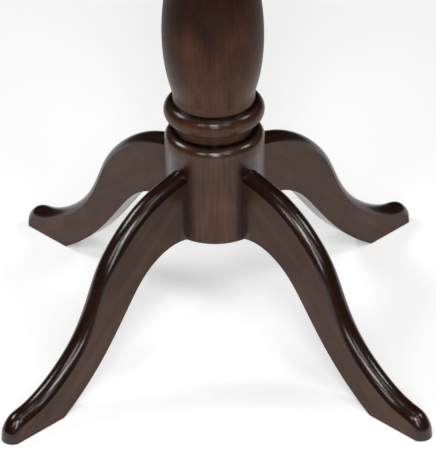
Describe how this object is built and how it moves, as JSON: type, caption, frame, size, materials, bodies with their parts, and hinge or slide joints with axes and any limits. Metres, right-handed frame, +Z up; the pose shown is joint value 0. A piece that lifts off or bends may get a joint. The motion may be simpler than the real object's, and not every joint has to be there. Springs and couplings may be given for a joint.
{
  "type": "tilt top table",
  "caption": "Round-topped table on a turned pedestal with four curved legs; the top tips from level to upright on a pivoted block and locks with a sliding catch.",
  "frame": {"origin": "on the floor directly below the middle of the column", "axes": "+Z up, +X to the right, -Y towards the front, the side that the upright top faces; the legs stand at 45 degrees to X and Y"},
  "size_m": [0.9139, 0.914, 0.76],
  "materials": {
    "leg_wood": "satin dark walnut stain",
    "turned_wood": "semi-gloss dark walnut stain",
    "top_wood": "semi-gloss dark walnut stain",
    "rail_wood": "thin dark stain, little varnish",
    "dowel_wood": "bare beech",
    "brass": "aged satin brass",
    "steel": "zinc plated",
    "nylon": "moulded nylon"
  },
  "bodies": {
    "pedestal": {"block_dowels": "dowel_wood", "catch_keeper": "brass", "column": "turned_wood", "glide_back_left": "nylon", "glide_back_right": "nylon", "glide_front_left": "nylon", "glide_front_right": "nylon", "hub": "turned_wood", "hub_dowels": "dowel_wood", "keeper_screws": "brass", "leg_back_left": "leg_wood", "leg_back_right": "leg_wood", "leg_bolt_nuts": "steel", "leg_bolt_washers": "steel", "leg_bolts": "steel", "leg_front_left": "leg_wood", "leg_front_right": "leg_wood", "pivot_bolt_left": "steel", "pivot_bolt_right": "steel", "pivot_insert_left": "brass", "pivot_insert_right": "brass", "pivot_washer_left": "steel", "pivot_washer_right": "steel", "tie_rod": "steel", "tie_rod_nuts": "steel", "tie_rod_washer_lower": "steel", "tie_rod_washer_upper": "steel", "tilt_block": "rail_wood"},
    "top": {"tabletop": "top_wood", "batten_left": "rail_wood", "batten_right": "rail_wood", "batten_screws": "steel", "pivot_bush_left": "brass", "pivot_bush_right": "brass", "catch_plate": "brass", "catch_screws": "brass"},
    "catch": {"catch_bolt": "brass", "catch_knob": "brass"}
  },
  "joints": [
    {"name": "top_tilt", "type": "hinge", "parent": "pedestal", "child": "top", "pos_m": [0, -0.056, 0.719], "axis": [1, 0, 0], "range_deg": [0, 90]},
    {"name": "catch_slide", "type": "slide", "parent": "top", "child": "catch", "axis": [0, -1, 0], "range_m": [0, 0.012]}
  ]
}
